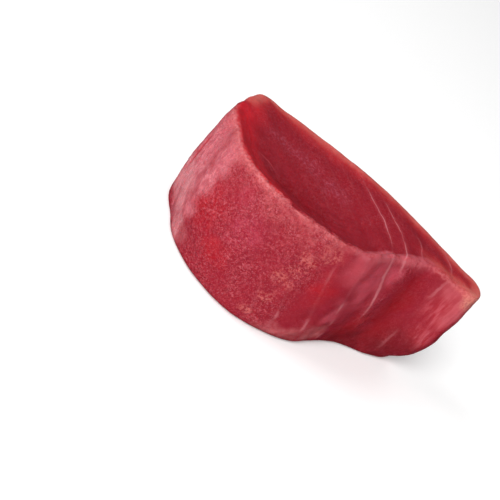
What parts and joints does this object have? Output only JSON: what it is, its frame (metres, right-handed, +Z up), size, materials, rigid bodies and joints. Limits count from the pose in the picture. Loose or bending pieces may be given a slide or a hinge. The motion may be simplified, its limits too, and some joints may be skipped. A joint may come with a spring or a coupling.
{
  "type": "raw tuna steak",
  "caption": "Thick raw fish steak with a hollowed upper cut face and a tapered tip, lying on its lower cut face.",
  "frame": {"origin": "middle of the box, on the surface that the steak rests on", "axes": "+X from the blunt end to the tip, +Y away from the broad bowed side, +Z up from the lower cut face to the upper one"},
  "size_m": [0.1142, 0.0732, 0.0473],
  "materials": {
    "meat": "raw red fish flesh, moist and slightly glossy, with fine fibres and thin pale membranes"
  },
  "bodies": {
    "root": {"steak": "meat"}
  },
  "joints": []
}
